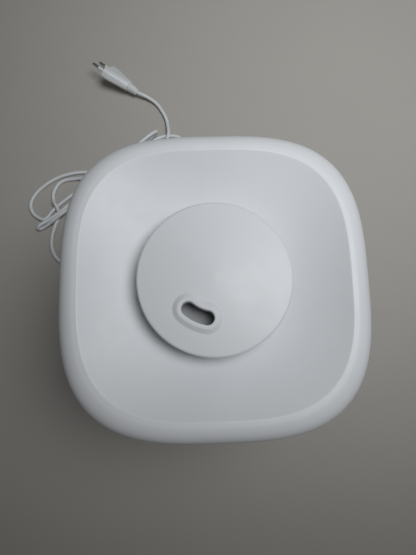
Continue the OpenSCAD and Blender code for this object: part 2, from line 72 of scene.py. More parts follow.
HALF = lid_high.x
LIP_TOP = lid_high.z
RIM_Z = LIP_TOP - LIP_RISE
BASE_TOP = base_high.z
TANK_TOP = tank_high.z
SEAM = 0.3               # gap where one shell stands on the next
TANK_BOTTOM = BASE_TOP + SEAM
LID_BOTTOM = TANK_TOP + SEAM


def wall_a(z):
    """Half-width of the outer wall at height z."""
    return HALF - LEAN * (1 - z / RIM_Z) ** 2


# ---------- mesh tools ----------


def shift(x, y, z):
    """A move in millimetres."""
    return Matrix.Translation(Vector((x, y, z)) * MM)


def spin(degrees, axis):
    """A turn about an axis through the origin."""
    return Matrix.Rotation(math.radians(degrees), 4, axis)


def arc(x, z, r, start, end, steps):
    """Points on an arc in a profile, angles in degrees from +X towards +Z."""
    return [
        (x + r * math.cos(math.radians(a)), z + r * math.sin(math.radians(a)))
        for a in (start + (end - start) * i / steps for i in range(steps + 1))
    ]


def softened(outline, r, steps=4):
    """Rounds every corner of a closed profile by r, or less where its sides are short."""
    out = []
    n = len(outline)
    for i, corner in enumerate(outline):
        here = Vector(corner)
        back = Vector(outline[i - 1]) - here
        on = Vector(outline[(i + 1) % n]) - here
        turn = math.pi - back.angle(on, 0)
        if turn < math.radians(12):
            out.append(tuple(here))
            continue
        reach = min(r * math.tan(turn / 2), back.length * 0.45, on.length * 0.45)
        out += blend(here + back.normalized() * reach, here, here + on.normalized() * reach, steps)
    return out


def through(points, per_span):
    """A smooth curve through points, with per_span samples for each span."""
    p = [Vector(q) for q in points]
    p = [2 * p[0] - p[1], *p, 2 * p[-1] - p[-2]]
    out = []
    for a, b, c, d in zip(p, p[1:], p[2:], p[3:]):
        for k in range(per_span):
            t = k / per_span
            square = 2 * a - 5 * b + 4 * c - d
            cube = 3 * b - a - 3 * c + d
            out.append(0.5 * (2 * b + (c - a) * t + square * t**2 + cube * t**3))
    return [*out, p[-2]]


def blend(before, corner, after, steps=8):
    """Rounds a corner of a profile between the points where the rounding starts and ends."""
    a, b, c = Vector(before), Vector(corner), Vector(after)
    out = []
    for i in range(steps + 1):
        t = i / steps
        out.append(tuple(a * (1 - t) ** 2 + b * 2 * t * (1 - t) + c * t**2))
    return out


def shade(mesh, sharp=32):
    """Smooth shading with edges sharper than an angle kept crisp."""
    mesh.polygons.foreach_set("use_smooth", [True] * len(mesh.polygons))
    mesh.set_sharp_from_angle(angle=math.radians(sharp))


def new_object(name, points, faces, place=Matrix.Identity(4)):
    """A shown object from points in millimetres and faces, with its normals turned outwards."""
    mesh = bpy.data.meshes.new(name)
    mesh.from_pydata([place @ (Vector(p) * MM) for p in points], [], faces)
    bm = bmesh.new()
    bm.from_mesh(mesh)
    bmesh.ops.remove_doubles(bm, verts=bm.verts, dist=1e-7)
    bmesh.ops.recalc_face_normals(bm, faces=bm.faces)
    bm.to_mesh(mesh)
    bm.free()
    shade(mesh)
    made = bpy.data.objects.new(name, mesh)
    bpy.context.scene.collection.objects.link(made)
    return made


def ring_faces(rings, count, loop):
    """Quads between neighbouring rings of count points, and from the last ring to the first if loop."""
    faces = []
    for j in range(rings if loop else rings - 1):
        a, b = j * count, (j + 1) % rings * count
        faces += [(a + i, a + (i + 1) % count, b + (i + 1) % count, b + i) for i in range(count)]
    return faces


def circle(r, count):
    """Points round a circle about the origin."""
    angles = [2 * math.pi * i / count for i in range(count)]
    return [(r * math.cos(a), r * math.sin(a)) for a in angles]


def squircle(a, n, z):
    """A ring of half-width a. The plan is round when n is 2, and squarer when n is larger."""
    ring = []
    for c, s in circle(1, AROUND):
        r = a / (abs(c) ** n + abs(s) ** n) ** (1 / n)
        ring.append((r * c, r * s, z))
    return ring


def squircle_shell(name, outline):
    """A closed shell whose profile is [half-width, height] or [half-width, height, squareness]."""
    points = []
    for p in outline:
        points += squircle(p[0], p[2] if len(p) > 2 else SQUARE_N, p[1])
    return new_object(name, points, ring_faces(len(outline), AROUND, True))


def turned(name, outline, place=Matrix.Identity(4), count=TURNS):
    """A turned solid about Z. An outline from axis to axis is capped, and any other is a closed loop."""
    points = []
    for r, z in outline:
        points += [(x, y, z) for x, y in circle(max(r, 1e-4), count)]
    solid = outline[0][0] < 1e-3 and outline[-1][0] < 1e-3
    faces = ring_faces(len(outline), count, not solid)
    if solid:
        last = (len(outline) - 1) * count
        faces += [tuple(range(count)), tuple(range(last, last + count))]
    return new_object(name, points, faces, place)


def prism(name, outline, low, high, place=Matrix.Identity(4)):
    """A flat outline pulled from one height to another."""
    n = len(outline)
    points = [(x, y, low) for x, y in outline] + [(x, y, high) for x, y in outline]
    faces = [tuple(range(n)), tuple(range(n, 2 * n)), *ring_faces(2, n, False)]
    return new_object(name, points, faces, place)


def combine(target, tools, how):
    """Joins the tools to the target or cuts them from it, and removes the tools."""
    for tool in tools:
        modifier = target.modifiers.new("combine", "BOOLEAN")
        modifier.object = tool
        modifier.operation = how
        modifier.solver = "EXACT"
    seen = target.evaluated_get(bpy.context.evaluated_depsgraph_get())
    mesh = bpy.data.meshes.new_from_object(seen)
    target.modifiers.clear()
    old, target.data = target.data, mesh
    bpy.data.meshes.remove(old)
    for tool in tools:
        bpy.data.objects.remove(tool)
    shade(target.data)
    return target


# ---------- materials ----------


class Shader:
    """A material on one Principled shader, with short calls for the nodes that feed it."""

    def __init__(self, name, **values):
        self.material = bpy.data.materials.new(name)
        self.material.use_nodes = True
        self.tree = self.material.node_tree
        self.shader = self.tree.nodes["Principled BSDF"]
        self.where = self.add("TexCoord").outputs["Object"]
        self.bumped = None
        for socket, value in values.items():
            self.shader.inputs[socket.replace("_", " ")].default_value = value

    def add(self, kind, **inputs):
        node = self.tree.nodes.new("ShaderNode" + kind)
        for socket, value in inputs.items():
            self.feed(node, socket.replace("_", " "), value)
        return node

    def feed(self, node, socket, value):
        if isinstance(value, bpy.types.NodeSocket):
            self.tree.links.new(value, node.inputs[socket])
        else:
            node.inputs[socket].default_value = value

    def noise(self, size, detail=2, stretch=(1, 1, 1)):
        """Noise from 0 to 1 whose features are about size millimetres, longer where stretch is over 1."""
        place = self.add("Mapping", Vector=self.where, Scale=[1 / s for s in stretch]).outputs["Vector"]
        return self.add("TexNoise", Vector=place, Scale=1 / (size * MM), Detail=detail).outputs["Fac"]

    def spread(self, value, low, high, start=0.3, end=0.7):
        """Maps a value's stretch from start to end onto low to high."""
        node = self.add("MapRange", Value=value, From_Min=start, From_Max=end, To_Min=low, To_Max=high)
        return node.outputs["Result"]

    def mix(self, amount, a, b):
        """Goes from colour a to colour b as amount goes from 0 to 1."""
        node = self.add("Mix")
        node.data_type = "RGBA"
        colours = [s for s in node.inputs if s.type == "RGBA"]
        self.feed(node, 0, amount)
        for socket, value in zip(colours, (a, b)):
            if isinstance(value, bpy.types.NodeSocket):
                self.tree.links.new(value, socket)
            else:
                socket.default_value = (*value[:3], 1)
        return next(s for s in node.outputs if s.type == "RGBA")

    def bump(self, height, depth):
        """Adds relief of depth millimetres where height goes from 0 to 1."""
        node = self.add("Bump", Height=height, Distance=depth * MM)
        if self.bumped is not None:
            self.tree.links.new(self.bumped, node.inputs["Normal"])
        self.bumped = node.outputs["Normal"]

    def round_edges(self, radius):
        """Makes sharp edges catch the light as if they were rounded by radius millimetres."""
        node = self.add("Bevel", Radius=radius * MM)
        node.samples = 4
        self.bumped = node.outputs["Normal"]

    def set(self, socket, value):
        self.feed(self.shader, socket, value)

    def done(self):
        if self.bumped is not None:
            self.set("Normal", self.bumped)
        return self.material


def scaled(colour, k):
    return tuple(min(1, c * k) for c in colour[:3])


def plastic(name, colour, rough, grain=0.35, relief=0.006, mottle=0.02, edges=0.0, **values):
    """Moulded plastic: cloudy tone, spark-eroded grain, slow waviness and uneven gloss."""
    s = Shader(name, **values)
    if edges:
        s.round_edges(edges)
    cloud = s.noise(34, 3)
    speck = s.noise(0.9, 1)
    tone = s.mix(s.spread(cloud, 0, 1), scaled(colour, 1 - mottle), scaled(colour, 1 + mottle / 2))
    s.set("Base Color", s.mix(s.spread(speck, 0, 0.25, 0.62, 0.8), tone, scaled(colour, 1 - 2.5 * mottle)))
    s.set("Roughness", s.spread(s.noise(11, 3), rough - 0.03, rough + 0.03))
    s.bump(s.noise(28, 1), 0.012)
    s.bump(s.noise(grain, 2), relief)
    return s.done()


def rubber(name, colour, rough=0.75):
    """Soft rubber: matt, with bloom in patches and a fine tooth."""
    s = Shader(name, Specular_IOR_Level=0.35)
    s.round_edges(0.3)
    bloom = s.spread(s.noise(6, 4), 0, 1, 0.4, 0.75)
    s.set("Base Color", s.mix(bloom, colour, scaled(colour, 1.35)))
    s.set("Roughness", s.spread(s.noise(2.5, 3), rough - 0.08, rough + 0.1))
    s.bump(s.noise(0.25, 2), 0.012)
    return s.done()


def metal(name, colour, rough, brush=(1, 1, 1), grain=0.5, relief=0.004):
    """Bare metal, brushed along the long way of brush."""
    s = Shader(name, Metallic=1.0)
    s.round_edges(0.15)
    lines = s.noise(grain, 3, brush)
    s.set("Base Color", s.mix(s.noise(4, 3), scaled(colour, 0.9), colour))
    s.set("Roughness", s.spread(lines, rough - 0.08, rough + 0.1))
    s.bump(lines, relief)
    return s.done()


def clear_plastic(name, colour):
    """Smoky translucent polycarbonate with a faint flow pattern."""
    s = Shader(name, Transmission_Weight=0.75, IOR=1.58)
    s.set("Base Color", s.mix(s.noise(22, 2), scaled(colour, 0.92), colour))
    s.set("Roughness", s.spread(s.noise(5, 3), 0.14, 0.24))
    s.bump(s.noise(9, 1), 0.02)
    return s.done()


def circuit_board(name, top_z):
    """Green board with faint tracks, and dark moulded parts above the height top_z."""
    s = Shader(name)
    grid = s.add("TexBrick", Vector=s.where, Scale=1 / (3.1 * MM), Mortar_Size=0.07)
    grid.inputs["Color1"].default_value = (0.02, 0.12, 0.05, 1)
    grid.inputs["Color2"].default_value = (0.025, 0.15, 0.06, 1)
    grid.inputs["Mortar"].default_value = (0.08, 0.26, 0.12, 1)
    dots = s.add("TexVoronoi", Vector=s.where, Scale=1 / (4.2 * MM)).outputs["Distance"]
    solder = s.mix(s.spread(dots, 1, 0, 0.13, 0.17), grid.outputs["Color"], (0.55, 0.56, 0.57))
    height = s.add("SeparateXYZ", Vector=s.where).outputs["Z"]
    above = s.spread(height, 0, 1, top_z * MM, (top_z + 0.1) * MM)
    s.set("Base Color", s.mix(above, solder, (0.035, 0.036, 0.04)))
    s.set("Roughness", s.spread(above, 0.35, 0.55, 0, 1))
    s.bump(s.noise(0.8, 2), 0.02)
    return s.done()


def foam(name, colour):
    """Open-cell filter foam."""
    s = Shader(name, Roughness=0.95)
    cells = s.add("TexVoronoi", Vector=s.where, Scale=1 / (1.1 * MM)).outputs["Distance"]
    # Painted shade: the pits at the cells' middles are darkened to stand for the shade inside the open
    # pores
    s.set("Base Color", s.mix(s.spread(cells, 0, 1, 0.1, 0.6), scaled(colour, 0.35), colour))
    s.bump(cells, 0.5)
    return s.done()


def ceramic(name):
    """Silver-faced piezo disc with a mottled face."""
    s = Shader(name, Metallic=0.85)
    s.set("Base Color", s.mix(s.noise(1.6, 4), (0.55, 0.47, 0.3), (0.75, 0.68, 0.5)))
    s.set("Roughness", s.spread(s.noise(0.7, 2), 0.22, 0.4))
    s.bump(s.noise(0.3, 2), 0.01)
    return s.done()


def pale_floor(name):
    """Plain pale floor with a very faint cloudiness."""
    s = Shader(name, Specular_IOR_Level=0.3)
    s.set("Base Color", s.mix(s.noise(160, 3), (0.43, 0.41, 0.375), (0.455, 0.435, 0.395)))
    s.set("Roughness", s.spread(s.noise(60, 3), 0.6, 0.72))
    s.bump(s.noise(1.2, 3), 0.03)
    return s.done()


SHELL = (0.80, 0.81, 0.825)
INNER = (0.78, 0.79, 0.80)
CORD = (0.74, 0.76, 0.765)

shell_white = plastic("shell_white", SHELL, 0.42, Specular_IOR_Level=0.45)
shell_cad = plastic("shell_white_edged", SHELL, 0.42, edges=0.4)
inner_white = plastic("inner_white", INNER, 0.5, grain=0.5, edges=0.4)
# Painted shade: this grey darkens the hub and splash baffle seen through the cap's slot, standing in for
# the shade inside the hole
inner_grey = plastic("inner_grey", (0.3, 0.305, 0.31), 0.5, grain=0.5, edges=0.4)
light_ring = plastic(
    "light_ring", (0.82, 0.86, 0.9), 0.22, grain=0.8, relief=0.002, mottle=0.01, Coat_Weight=0.4
)
black_plastic = plastic("black_plastic", (0.03, 0.03, 0.033), 0.5, relief=0.01, mottle=0.2, edges=0.3)
cord_white = plastic("cord_white", CORD, 0.46, grain=0.6, relief=0.01, mottle=0.03)
tie_white = plastic("tie_white", (0.7, 0.7, 0.7), 0.6, grain=0.4, relief=0.02)
seal_grey = rubber("seal_grey", (0.2, 0.205, 0.21))
foot_rubber = rubber("foot_rubber", (0.09, 0.09, 0.095))
steel = metal("zinc_steel", (0.6, 0.6, 0.62), 0.35)
pin_metal = metal("nickel_pin", (0.72, 0.72, 0.74), 0.2, relief=0.002)
aluminium = metal("aluminium", (0.7, 0.71, 0.72), 0.38, brush=(1, 12, 1))
smoke_clear = clear_plastic("smoke_clear", (0.62, 0.68, 0.72))

CAD_LOOKS = {
    "bottom_plate": inner_white,
    "base_screws": steel,
    "base_deck": inner_white,
    "water_basin": inner_white,
    "air_stack": inner_white,
    "lid_collar": shell_cad,
    "intake_filter": foam("filter_foam", (0.2, 0.21, 0.22)),
    "fan_frame": black_plastic,
    "fan_rotor": black_plastic,
    "air_duct": inner_white,
    "transducer_disc": ceramic("piezo_face"),
    "transducer_seal": seal_grey,
    "transducer_clamp": steel,
    "clamp_screws": steel,
    "driver_board": circuit_board("driver_board_face", 15.75),
    "driver_heatsink": aluminium,
    "power_board": circuit_board("power_board_face", 15.75),
    "control_board": circuit_board("control_board_face", 90),
    "tact_switch": black_plastic,
    "level_float": inner_white,
    "float_clip": inner_white,
    "tank_floor": inner_white,
    "mist_tube": inner_white,
    "tube_seal": seal_grey,
    "valve_cap": inner_white,
    "valve_plunger": inner_white,
    "valve_seal": seal_grey,
    "valve_spring": steel,
    "lid_gasket": seal_grey,
    "pour_ring": shell_cad,
    # painted shade: the hub and baffle under the slot are grey to stand for the shade seen through it
    "cap_hub": inner_grey,
    "splash_baffle": inner_grey,
    "hub_seal": seal_grey,
    "cap_sleeve": shell_cad,
}
for node_name, look in CAD_LOOKS.items():
    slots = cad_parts[node_name].data.materials
    slots.clear()
    slots.append(look)


def dress(piece, body, look, slot, *stands_for):
    """Gives a new piece its material and its body, and hides the CAD nodes it stands for. The slot is not
    used.
    """
    piece.data.materials.clear()
    piece.data.materials.append(look)
    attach(piece, body)
    if stands_for:
        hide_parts(*stands_for)
    return piece


# ---------- camera ----------

CAMERA_AT = (-8.6, -44.4, 539.8)
CAMERA_TILT = 9.37       # degrees from straight down
CAMERA_HEADING = -5.25
CAMERA_ROLL = 3.68
LENS = 27.9


def add_camera():
    data = bpy.data.cameras.new("camera")
    data.lens = LENS
    data.clip_start = 0.01
    camera = bpy.data.objects.new("camera", data)
    aim = spin(CAMERA_HEADING, "Z") @ spin(CAMERA_TILT, "X") @ spin(CAMERA_ROLL, "Z")
    camera.matrix_world = shift(*CAMERA_AT) @ aim
    bpy.context.scene.collection.objects.link(camera)
    bpy.context.scene.camera = camera


add_camera()

# ---------- cord ----------
# The route in millimetres from the strain relief to the plug. The first and last stretches are the CAD's.
# The folded bundle is a plain block in the CAD, and its strands are given along and across it, with height.

CORD_D = 4.6
HANK_START = (-211, 114.5)
HANK_ANGLE = math.radians(39.4)
LEAD_ROUTE = [
    (0, 124, 15), (0, 136, 12.5), (-1, 150, 8.5), (-3, 166, 5), (-8, 184, 3), (-14, 203, 2.5),
    (-22, 223, 2.5), (-34, 234.5, 2.5), (-46, 237, 2.5), (-58, 235.3, 2.5), (-68, 230.5, 2.5),
    (-82, 220.5, 2.5), (-98, 209.5, 2.5), (-117, 199, 2.5), (-136, 191.5, 2.5), (-152, 188.5, 2.5),
    (-165, 188.3, 2.5), (-178, 186.4, 2.5), (-190.8, 182.6, 2.5), (-203.7, 175.8, 2.5),
    (-216.3, 165.8, 2.5), (-223.8, 156.2, 2.5), (-227.2, 147, 2.5), (-226.5, 139.2, 2.6),
    (-222.5, 132.4, 2.8), (-216, 127.3, 3.2), (-209, 124.6, 4),
]
HANK_ROUTE = [
    (14, 6.6, 3.2), (21, 8.4, 3), (29, 10, 2.6), (39, 10.3, 2.4), (55, 10, 2.4), (70, 9.4, 2.4),
    (84, 8.4, 3), (97, 7.2, 5), (110, 5.8, 7.8), (124, 4.3, 11), (140, 2.2, 15), (157, 0.5, 18.6),
    (172, -0.3, 20.7), (183, -0.2, 20), (190.3, 0.3, 17), (193, 1, 13.2), (191.2, 1.6, 9.8),
    (185.5, 2, 7.9), (175, 2.2, 7.3), (160, 2.2, 7.2), (145, 2.2, 7.2), (131, 2.2, 6.9), (118, 2.2, 4.8),
    (106, 2.4, 2.8), (90, 3, 2.4), (74, 3.6, 2.4), (60, 3, 2.6), (51, 1.6, 4.2), (45, 0.6, 5.6),
    (37, -0.2, 6.8), (30, -0.4, 7.2), (24, -0.1, 7.3), (17, 0.5, 7.1), (10, 1.5, 7.1), (4, 1.9, 8),
    (0, 2, 8.6), (-3, 1.7, 7.4), (-4.4, 1, 5.2), (-3.2, 0.2, 3.3), (0, -0.6, 2.9), (4.5, -1.9, 4),
    (10, -3, 6.2), (17, -3.9, 8.6), (24, -4.2, 9.5), (30, -4.3, 9.4), (37, -3.9, 8), (45, -3.1, 5.4),
    (53, -2.6, 3.2), (60, -2.2, 2.4), (77, -3, 2.4),
]
PLUG_ROUTE = [
    (-139, 167, 2.5), (-127, 165, 2.5), (-119, 156, 2.5), (-117, 144, 2.5), (-119, 132, 2.5),
    (-125, 117, 2.5), (-131, 102, 2.5), (-136, 87, 2.5), (-144, 73, 2.5), (-157, 64, 2.5),
    (-172, 62.5, 2.5), (-184.5, 67.5, 2.5), (-193.5, 76, 2.5), (-198, 86, 2.5), (-199, 96, 2.5),
    (-198.2, 105, 2.5), (-196, 113.6, 2.4), (-194.4, 118.7, 2.4), (-192.1, 124.6, 2.4),
    (-191, 130.4, 2.5), (-191.1, 136, 4.6), (-191.9, 139.5, 7.2), (-193.8, 142.9, 7.3), (-196, 146, 5.4),
    (-198.1, 150.7, 3), (-198.7, 157.8, 2.5), (-197, 165, 2.5), (-192.6, 172.3, 2.5), (-187, 176.6, 2.5),
    (-180.3, 178.7, 2.5), (-170, 179.4, 3.2), (-160, 179, 6), (-147, 178, 10), (-134, 176, 10.5),
    (-120, 177, 8.5), (-105, 180, 4.5), (-89, 187, 2.5), (-73, 197, 2.5), (-59, 211, 4), (-51, 226, 6.6),
    (-47.6, 238, 7.6), (-48.5, 250, 4), (-50, 259, 3), (-52.5, 266, 3), (-56.4, 273.4, 3),
    (-61.6, 281.4, 3.5), (-68.2, 287.3, 5), (-76, 291.6, 7.2), (-83, 294.3, 9.3), (-89, 297, 10),
]
TIE_ALONG = 74           # where the tie sits along the bundle
PLUG_TURN = 144          # heading of the plug from its cord, in degrees
PLUG_PITCH = 8           # how far the pins are tipped up
PLUG_ROLL = 48           # the plug leans over on its narrow side
PLUG_LEN = 46.5          # from the cord's end of the tail to the face with the pins
PLUG_W = 35              # widest, across both pins
PLUG_T = 13.7            # thickness across its narrow side
PLUG_N = 4               # squareness of the body at its front
TAIL_LEN = 12            # the ribbed tail behind the plug's body
TAIL_RIBS = 4
GRIP_START, GRIP_END = 20, 35.6
GRIP_PITCH = 2.6         # between the grip grooves
PIN_REACH = 9            # from the plug's middle to each pin's axis


def in_hank(along, across, z):
    """The point at a place along and across the folded bundle."""
    c, s = math.cos(HANK_ANGLE), math.sin(HANK_ANGLE)
    return (HANK_START[0] + along * c - across * s, HANK_START[1] + along * s + across * c, z)


def cord_line():
    """The cord's middle line, smoothed and kept off the floor by its radius."""
    route = LEAD_ROUTE + [in_hank(*p) for p in HANK_ROUTE] + PLUG_ROUTE
    return [Vector((p.x, p.y, max(p.z, CORD_D / 2))) for p in through(route, 8)]


def add_cord(line):
    curve = bpy.data.curves.new("mains_cord", "CURVE")
    curve.dimensions = "3D"
    curve.bevel_depth = CORD_D / 2 * MM
    curve.bevel_resolution = 4
    spline = curve.splines.new("POLY")
    spline.points.add(len(line) - 1)
    for point, place in zip(spline.points, line):
        point.co = (*(place * MM), 1)
    spline.use_smooth = True
    cord = bpy.data.objects.new("mains_cord", curve)
    bpy.context.scene.collection.objects.link(cord)
    return dress(cord, "base", cord_white, "cord_white", "power_cord", "cord_hank", "plug_lead")


def oval(x, width, thick, n, grip=0.0, count=64):
    """A superellipse ring across the plug, with shallow grooves pressed into its narrow sides."""
    ring = []
    for c, s in circle(1, count):
        k = (abs(c) ** n + abs(s) ** n) ** (-1 / n)
        pressed = 1 - grip * abs(c) ** 6
        ring.append((x, width / 2 * k * c * pressed, thick / 2 * k * s))
    return ring


def loft(name, rings, place):
    """A solid through a row of rings, capped at both ends."""
    count = len(rings[0])
    last = (len(rings) - 1) * count
    faces = ring_faces(len(rings), count, False)
    faces += [tuple(range(count)), tuple(range(last, last + count))]
    return new_object(name, [p for ring in rings for p in ring], faces, place)


def add_plug_body(place):
    """Flared body with a rounded face and grip grooves down its narrow sides."""
    # distance along, width, thickness, squareness
    stations = [
        (TAIL_LEN, 16.5, 12.6, 2.2), (16, 19, 12.9, 2.5), (22, 23, 13.2, 2.8), (30, 29, 13.5, 3.2),
        (38, 33.8, PLUG_T, PLUG_N), (43.5, PLUG_W, PLUG_T, PLUG_N),
        (PLUG_LEN - 0.6, PLUG_W, PLUG_T, PLUG_N),
    ]
    rings = [oval(TAIL_LEN - 0.3, 15.4, 11.6, 2.2)]
    for x, width, thick, n in through(stations, 6):
        wave = math.sin((x - GRIP_START) / GRIP_PITCH * 2 * math.pi)
        groove = max(0, wave) if GRIP_START < x < GRIP_END else 0
        rings.append(oval(x, width, thick, n, 0.05 * groove))
    rings.append(oval(PLUG_LEN - 0.15, PLUG_W - 0.6, PLUG_T - 0.6, PLUG_N))
    rings.append(oval(PLUG_LEN, PLUG_W - 1.6, PLUG_T - 1.6, PLUG_N))
    rings.append(oval(PLUG_LEN, 20, 7, 3))
    return dress(loft("plug_moulding", rings, place), "base", cord_white, "cord_white", "plug_body")


def add_plug_tail(place):
    """Ribbed tail that grows from the cord to the plug's body."""
    pitch = TAIL_LEN / TAIL_RIBS
    outline = [(0, -0.6), (CORD_D / 2 + 1.3, -0.6)]
    for i in range(TAIL_RIBS):
        r, z = CORD_D / 2 + 2.2 + 0.5 * i, pitch * i
        outline += [(r - 0.3, z), (r, z + 0.4), (r + 0.1, z + 0.6 * pitch), (r - 0.3, z + 0.7 * pitch)]
        outline += [(r - 0.9, z + 0.75 * pitch), (r - 0.9, z + 0.95 * pitch)]
    outline += [(5, TAIL_LEN + 0.2), (0, TAIL_LEN + 0.2)]
    tail = turned("plug_tail", outline, place @ spin(90, "Y"), 64)
    return dress(tail, "base", cord_white, "cord_white", "plug_relief")


def add_plug_pins(place):
    """Two round pins with insulated roots."""
    sleeve_line = [(0, -0.5), (2.6, -0.5), (2.6, 0.5), (1.95, 0.9), (1.95, 9.6), (1.7, 9.9), (0, 9.9)]
    tip_line = [(0, 9), (1.9, 9), (1.9, 17.2), (1.75, 18), (1.3, 18.7), (0.6, 19), (0, 19)]
    pins = []
    for side in (-1, 1):
        at = place @ shift(PLUG_LEN, side * PIN_REACH, 0) @ spin(90, "Y")
        sleeve = turned(f"pin_sleeve_{side + 2}", sleeve_line, at, 40)
        tip = turned(f"pin_tip_{side + 2}", tip_line, at, 40)
        pins.append(dress(sleeve, "base", cord_white, "cord_white"))
        pins.append(dress(tip, "base", pin_metal, "pin_metal"))
    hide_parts("plug_pins")
    return pins


def add_plug():
    """Two-pin plug, leaning on the floor at the cord's end."""
    place = shift(*PLUG_ROUTE[-1]) @ spin(PLUG_TURN, "Z") @ spin(-PLUG_PITCH, "Y") @ spin(PLUG_ROLL, "X")
    return [add_plug_body(place), add_plug_tail(place), *add_plug_pins(place)]


relief_low, relief_high = box_mm("strain_relief")
RELIEF_Z = (relief_low.z + relief_high.z) / 2


def add_strain_relief():
    """Tapered boot with ribs round it, out of the back of the base."""
    length = relief_high.y - relief_low.y
    start, tip_len, ribs = 8, 3, 7
    pitch = (length - tip_len - start) / ribs
    tip, root = CORD_D / 2 + 0.9, 5.6
    outline = [(0, 0), (7.2, 0), (7.4, 0.3), (7.4, 1.8), (5.5, 1.8)]
    outline += [(5.5, 5.6), (7.2, 5.6), (7.4, 5.9), (7.4, 7.1), (7, 7.4)]
    for i in range(ribs):
        z = start + pitch * i
        r = root + (tip - root) * i / ribs
        outline += [(r, z), (r + 0.05, z + 0.3 * pitch), (r - 0.15, z + 0.55 * pitch)]
        outline += [(r - 0.75, z + 0.62 * pitch), (r - 0.75, z + 0.92 * pitch)]
    outline += [(tip, length - tip_len), (tip, length - 0.5), (tip - 0.4, length), (0, length)]
    boot = turned("cord_boot", outline, shift(0, relief_low.y, RELIEF_Z) @ spin(-90, "X"), 64)
    return dress(boot, "base", cord_white, "cord_white", "strain_relief")


def turns_left(a, b, c):
    """Whether the way from a by b to c bends to the left."""
    return (b[0] - a[0]) * (c[1] - a[1]) > (b[1] - a[1]) * (c[0] - a[0])


def hull(points):
    """Convex outline of flat points, anticlockwise."""
    points = sorted(set(points))
    out = []
    for row in (points, points[::-1]):
        part = []
        for p in row:
            while len(part) > 1 and not turns_left(part[-2], part[-1], p):
                part.pop()
            part.append(p)
        out += part[:-1]
    return out


def tie_crossings(line):
    """Where the bundle's strands pass the tie, as (across, height)."""
    c, s = math.cos(HANK_ANGLE), math.sin(HANK_ANGLE)
    local = []
    for p in line:
        x, y = p.x - HANK_START[0], p.y - HANK_START[1]
        local.append((x * c + y * s, y * c - x * s, p.z))
    crossings = []
    for a, b in zip(local, local[1:]):
        if (a[0] - TIE_ALONG) * (b[0] - TIE_ALONG) < 0 and abs(a[1]) < 13:
            t = (TIE_ALONG - a[0]) / (b[0] - a[0])
            crossings.append((a[1] + t * (b[1] - a[1]), a[2] + t * (b[2] - a[2])))
    return crossings


def add_tie(line):
    """A soft strap drawn round the runs of the folded bundle."""
    snug = circle(CORD_D / 2 + 0.15, 24)
    around = [(x + dx, max(z + dz, 0.2)) for x, z in tie_crossings(line) for dx, dz in snug]
    outline = hull([(round(x, 3), round(z, 3)) for x, z in around])
    middle = Vector((sum(p[0] for p in outline), sum(p[1] for p in outline))) / len(outline)
    rings = []
    for along, out in ((-4, 0), (-4, 0.55), (-3.4, 0.75), (3.4, 0.75), (4, 0.55), (4, 0)):
        ring = []
        for p in outline:
            q = Vector(p) + (Vector(p) - middle).normalized() * out
            ring.append(in_hank(TIE_ALONG + along, q.x, max(q.y, 0.05)))
        rings.append(ring)
    points = [p for ring in rings for p in ring]
    strap = new_object("cord_tie", points, ring_faces(len(rings), len(outline), True))
    return dress(strap, "base", tie_white, "cord_white")


line = cord_line()
cord = add_cord(line)
on_cord = [add_strain_relief(), *add_plug(), add_tie(line)]

# ---------- base ----------

FOOT_GAP = base_low.z
FILLET_R = 7
FILLET_A = wall_a(FOOT_GAP + FILLET_R) - FILLET_R


def wall_line(low, high, inset=0.0, count=24):
    """The outer wall's profile between two heights, or a line inside it by inset."""
    heights = [low + (high - low) * i / count for i in range(count + 1)]
    return [(wall_a(z) - inset, z) for z in heights]


BUTTON_Z = 45
BUTTON_LEAN = math.degrees(math.atan(2 * LEAN * (1 - BUTTON_Z / RIM_Z) / RIM_Z))
at_button = shift(0, -wall_a(BUTTON_Z), BUTTON_Z) @ spin(90 + BUTTON_LEAN, "X")


def add_base():
    """Lower housing with a rolled foot, the button's hole and the cord's hole."""
    e = SOFT_EDGE
    top = wall_a(BASE_TOP)
    outer = [(FILLET_A + 0.3, FOOT_GAP), *arc(FILLET_A, FOOT_GAP + FILLET_R, FILLET_R, -84, 0, 12)]
    outer += wall_line(FOOT_GAP + FILLET_R + 4, BASE_TOP - e - 1)
    outer += arc(top - e, BASE_TOP - e, e, 0, 90, 5)
    inner = [(top - WALL, BASE_TOP)] + wall_line(BASE_TOP - 3, FOOT_GAP + FILLET_R + 4, WALL, 8)
    inner += arc(FILLET_A, FOOT_GAP + FILLET_R, FILLET_R - WALL, 0, -60, 4)
    inner += [(FILLET_A + 0.3, FOOT_GAP + 2.4)]
    housing = squircle_shell("base_housing", outer + inner)
    gland = shift(0, relief_low.y - 6, RELIEF_Z) @ spin(-90, "X")
    holes = [
        turned("button_hole", [(0, -12), (12.6, -12), (12.6, 6), (0, 6)], at_button, 96),
        turned("gland_hole", [(0, 0), (5.6, 0), (5.6, 26), (0, 26)], gland, 64),
    ]
    combine(housing, holes, "DIFFERENCE")
    return dress(housing, "base", shell_white, "shell_white", "base_shell")


def add_button():
    """Round push button with a dished face, in a light-guide ring."""
    ring = [(9.4, -5), (14.4, -5), (14.4, -3.4), (12.5, -3.4)]
    ring += [(12.5, 0.1), (11.6, 0.75), (10, 0.75), (9.4, 0.1)]
    guide = turned("light_ring", softened(ring, 0.3), at_button)
    dress(guide, "base", light_ring, "light_ring", "button_light_ring")
    face = [(0, 1.0), (3, 1.05), (5.5, 1.25), (7.2, 1.6), (7.9, 1.7), (8.5, 1.55), (8.95, 1.1), (9.1, 0.5)]
    stem = [(9.1, -5), (2.4, -5), (2.4, -12), (0, -12)]
    button = turned("push_button", face + stem, at_button)
    dress(button, "button", shell_white, "shell_white", "power_button")


